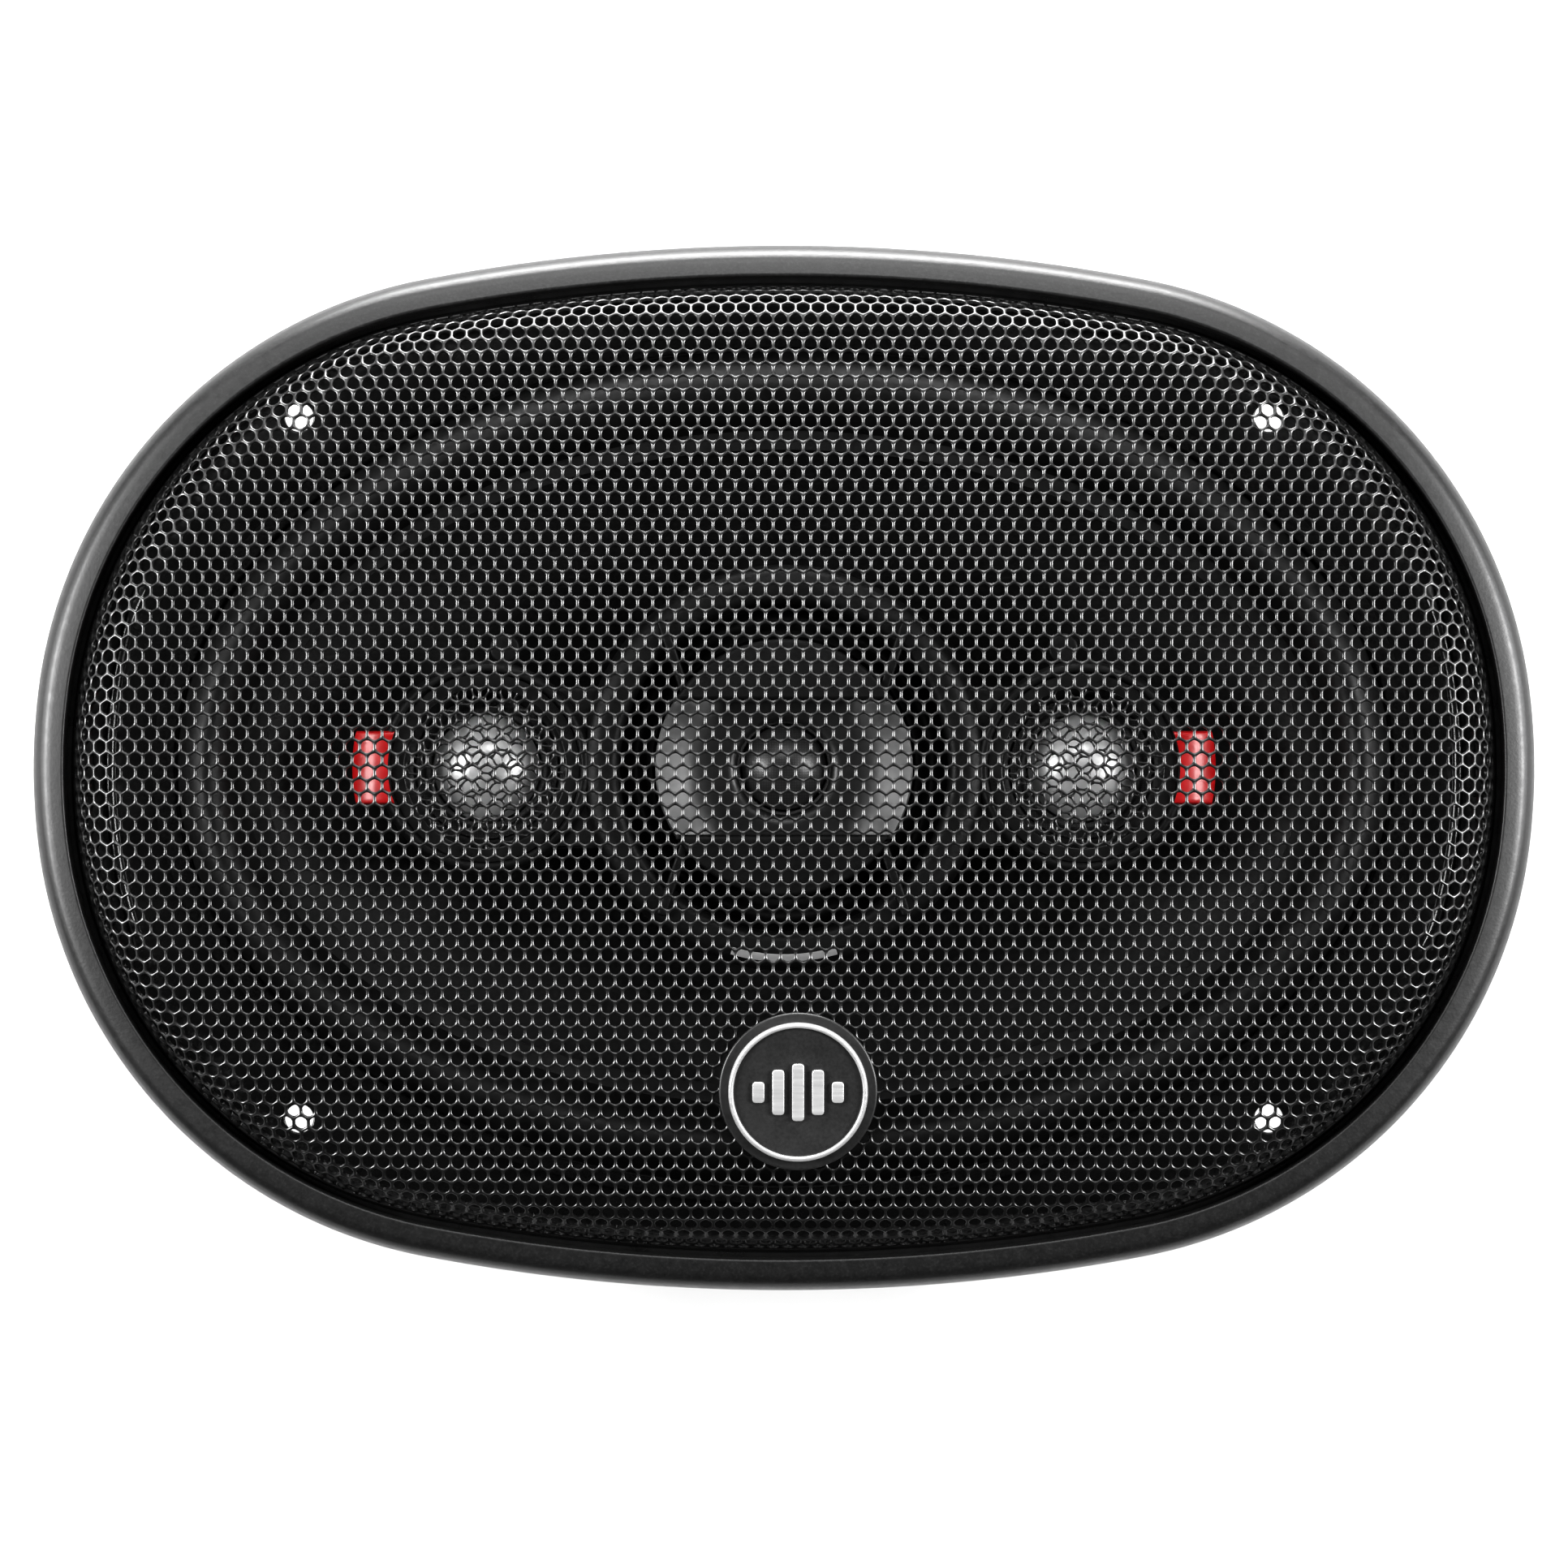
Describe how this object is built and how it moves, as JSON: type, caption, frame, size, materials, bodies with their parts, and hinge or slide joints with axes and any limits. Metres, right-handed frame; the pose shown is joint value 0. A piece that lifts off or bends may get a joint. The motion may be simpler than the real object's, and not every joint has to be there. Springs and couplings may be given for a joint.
{
  "type": "coaxial car speaker",
  "caption": "Oval coaxial car speaker: woofer cone with a post-mounted bridge of midrange and dome tweeters behind a domed perforated snap-off grille, blade terminals on the back.",
  "frame": {"origin": "centre of the rectangle of four mounting holes, on the rear face of the basket's flange (the mounting plane)", "axes": "+Z along the speaker's axis towards the listener, +X along the oval's long axis, +Y along its short axis"},
  "size_m": [0.237, 0.165, 0.0985],
  "materials": {
    "painted_steel": "satin black paint",
    "black_plastic": "satin moulded",
    "grey_plastic": "fine texture",
    "grille_steel": "semi-gloss black paint",
    "foam": "matt foam",
    "surround_rubber": "satin",
    "cone": "pressed fibre, matt",
    "spider_cloth": "resin-treated cloth",
    "braid": "woven copper braid",
    "zinc_steel": "bright zinc",
    "ferrite": "sintered ferrite, dark grey",
    "terminal_board": "pressed fibre board",
    "brass": "plated",
    "capacitor_sleeve": "shrink sleeve",
    "wire_pvc": "PVC",
    "former": "polyimide film",
    "copper": "enamelled wire",
    "accent_red": "translucent gloss red",
    "dome_dark": "moulded film",
    "dome_silver": "metallised film",
    "silk": "coated cloth",
    "screen_steel": "perforated, black",
    "bright_trim": "bright satin metal"
  },
  "bodies": {
    "chassis": {"basket": "painted_steel", "front_gasket": "foam", "surround": "surround_rubber", "spider": "spider_cloth", "tinsel_leads": "braid", "top_plate": "zinc_steel", "magnet": "ferrite", "t_yoke": "zinc_steel", "motor_rivets": "zinc_steel", "terminal_block": "terminal_board", "positive_terminal": "brass", "negative_terminal": "brass", "terminal_rivets": "brass", "crossover_capacitors": "capacitor_sleeve", "bridge_wires": "wire_pvc", "bridge_post": "zinc_steel", "post_washer": "zinc_steel", "post_nut": "zinc_steel", "bridge_rear_shell": "black_plastic", "bridge_front_shell": "black_plastic", "bridge_screws": "zinc_steel", "accent_left": "accent_red", "accent_right": "accent_red", "mid_basket": "black_plastic", "mid_yoke": "zinc_steel", "mid_magnet": "ferrite", "mid_top_plate": "zinc_steel", "mid_surround": "surround_rubber", "horn_plate": "grey_plastic", "centre_tweeter_cup": "zinc_steel", "centre_tweeter_magnet": "ferrite", "centre_tweeter_surround": "silk", "left_tweeter_cup": "zinc_steel", "left_tweeter_magnet": "ferrite", "left_tweeter_faceplate": "black_plastic", "left_tweeter_surround": "silk", "left_tweeter_screen": "screen_steel", "right_tweeter_cup": "zinc_steel", "right_tweeter_magnet": "ferrite", "right_tweeter_faceplate": "black_plastic", "right_tweeter_surround": "silk", "right_tweeter_screen": "screen_steel"},
    "woofer": {"woofer_cone": "cone", "voice_coil_former": "former", "voice_coil": "copper"},
    "midrange": {"mid_cone": "cone", "mid_dust_cap": "cone", "mid_voice_coil": "copper"},
    "centre_tweeter": {"centre_tweeter_dome": "dome_dark"},
    "left_tweeter": {"left_tweeter_dome": "dome_silver"},
    "right_tweeter": {"right_tweeter_dome": "dome_silver"},
    "grille": {"grille_frame": "grey_plastic", "grille_mesh": "grille_steel", "grille_clips": "black_plastic", "badge_body": "black_plastic", "badge_ring": "bright_trim", "badge_emblem": "bright_trim", "badge_push_nuts": "zinc_steel"}
  },
  "joints": [
    {"name": "woofer_stroke", "type": "slide", "parent": "chassis", "child": "woofer", "axis": [0, 0, 1], "range_m": [-0.005, 0.005], "stiffness_N_per_m": 2500, "deforming": ["surround", "spider", "tinsel_leads"]},
    {"name": "midrange_stroke", "type": "slide", "parent": "chassis", "child": "midrange", "axis": [0, 0, 1], "range_m": [-0.0006, 0.0006], "stiffness_N_per_m": 150, "deforming": ["mid_surround"]},
    {"name": "centre_tweeter_stroke", "type": "slide", "parent": "chassis", "child": "centre_tweeter", "axis": [0, 0, 1], "range_m": [-0.00025, 0.00025], "stiffness_N_per_m": 20, "deforming": ["centre_tweeter_surround"]},
    {"name": "left_tweeter_stroke", "type": "slide", "parent": "chassis", "child": "left_tweeter", "axis": [0, 0, 1], "range_m": [-0.00025, 0.00025], "stiffness_N_per_m": 20, "deforming": ["left_tweeter_surround"]},
    {"name": "right_tweeter_stroke", "type": "slide", "parent": "chassis", "child": "right_tweeter", "axis": [0, 0, 1], "range_m": [-0.00025, 0.00025], "stiffness_N_per_m": 20, "deforming": ["right_tweeter_surround"]},
    {"name": "grille_lift", "type": "slide", "parent": "chassis", "child": "grille", "axis": [0, 0, 1], "range_m": [0, 0.06]}
  ]
}
